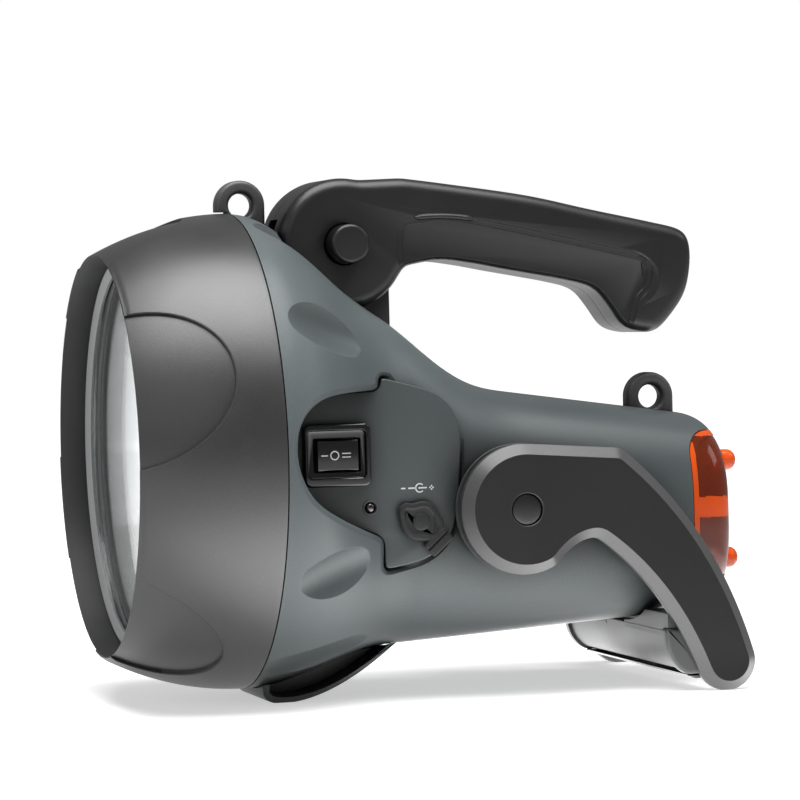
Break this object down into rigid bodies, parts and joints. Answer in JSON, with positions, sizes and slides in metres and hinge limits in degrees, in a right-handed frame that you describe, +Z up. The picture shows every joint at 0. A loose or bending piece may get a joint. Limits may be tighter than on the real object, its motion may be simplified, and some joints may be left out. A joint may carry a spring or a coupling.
{
  "type": "rechargeable hand spotlight",
  "caption": "Hand spotlight with a large round reflector head, a locking pivoted top handle, a rocker switch, a covered charging jack, an orange tail lens and a folding U-shaped stand.",
  "frame": {"origin": "bottom centre of the bounding box, on the ground under the lamp", "axes": "+X along the head axis towards the tail, +Z up, the switch side faces -Y"},
  "size_m": [0.227, 0.1672, 0.1828],
  "materials": {
    "bezel_plastic": "fine speckle grain",
    "trim_plastic": "satin silver",
    "lens_glass": "clear",
    "soft_rubber": "matte",
    "reflector_metal": "metallised",
    "heat_metal": "satin",
    "emitter_phosphor": "phosphor",
    "housing_plastic": "satin",
    "zinc_steel": "zinc plated",
    "battery_plastic": "satin",
    "pad_foam": "foam",
    "board_laminate": "solder mask",
    "red_led": "tinted",
    "tail_plastic": "clear orange",
    "plate_plastic": "satin",
    "switch_plastic": "gloss",
    "inner_plastic": "matte",
    "handle_plastic": "satin",
    "arm_plastic": "fine grain",
    "stand_plastic": "satin"
  },
  "bodies": {
    "lamp": {"bezel": "bezel_plastic", "lens_trim_ring": "trim_plastic", "front_lens": "lens_glass", "lens_gasket": "soft_rubber", "reflector": "reflector_metal", "led_board": "heat_metal", "led_emitter": "emitter_phosphor", "heat_sink": "heat_metal", "housing_left": "housing_plastic", "housing_right": "housing_plastic", "housing_screw_1": "zinc_steel", "housing_screw_2": "zinc_steel", "housing_screw_3": "zinc_steel", "housing_screw_4": "zinc_steel", "housing_screw_5": "zinc_steel", "housing_screw_6": "zinc_steel", "front_strap_ring": "bezel_plastic", "rear_strap_ring": "bezel_plastic", "keel_skid": "housing_plastic", "keel_web": "soft_rubber", "battery": "battery_plastic", "battery_pad": "pad_foam", "main_board": "board_laminate", "tail_led_board": "board_laminate", "tail_led_1": "red_led", "tail_led_2": "red_led", "tail_led_3": "red_led", "tail_led_4": "red_led", "tail_lens": "tail_plastic", "control_plate": "plate_plastic", "switch_frame": "switch_plastic", "switch_body": "inner_plastic", "charge_led": "red_led", "dc_jack": "inner_plastic", "pivot_tongue": "handle_plastic", "lock_spring": "zinc_steel", "stand_boss_left": "housing_plastic", "stand_boss_right": "housing_plastic"},
    "handle": {"handle_left": "handle_plastic", "handle_right": "handle_plastic", "pivot_axle": "zinc_steel", "pivot_cap": "handle_plastic", "handle_screw_1": "zinc_steel", "handle_screw_2": "zinc_steel", "handle_screw_3": "zinc_steel"},
    "lock_button": {"lock_button": "handle_plastic", "lock_gear": "zinc_steel"},
    "rocker": {"rocker_switch": "switch_plastic"},
    "jack_cover": {"jack_cover": "soft_rubber"},
    "stand": {"stand_frame": "stand_plastic", "stand_foot_strip": "stand_plastic", "stand_arm_left": "arm_plastic", "stand_arm_right": "arm_plastic", "stand_washer_left": "zinc_steel", "stand_washer_right": "zinc_steel", "stand_pin_left": "zinc_steel", "stand_pin_right": "zinc_steel", "stand_cap_left": "handle_plastic", "stand_cap_right": "handle_plastic"}
  },
  "joints": [
    {"name": "handle_pivot", "type": "hinge", "parent": "lamp", "child": "handle", "pos_m": [-0.02655, 0, 0.1594], "axis": [0, -1, 0], "range_deg": [0, 90]},
    {"name": "lock_button_slide", "type": "slide", "parent": "handle", "child": "lock_button", "axis": [0, 1, 0], "range_m": [0, 0.0035], "stiffness_N_per_m": 600, "springref_m": -0.002, "deforming": ["lock_spring"]},
    {"name": "rocker_tilt", "type": "hinge", "parent": "lamp", "child": "rocker", "pos_m": [-0.04055, -0.0485, 0.0868], "axis": [0, 0, 1], "range_deg": [-10, 10]},
    {"name": "jack_cover_hinge", "type": "hinge", "parent": "lamp", "child": "jack_cover", "pos_m": [-0.00379, -0.0498, 0.05447], "axis": [0.7431, 0, 0.6691], "range_deg": [0, 80]},
    {"name": "stand_pivot", "type": "hinge", "parent": "lamp", "child": "stand", "pos_m": [0.02375, 0, 0.0662], "axis": [0, 1, 0], "range_deg": [0, 80]}
  ]
}
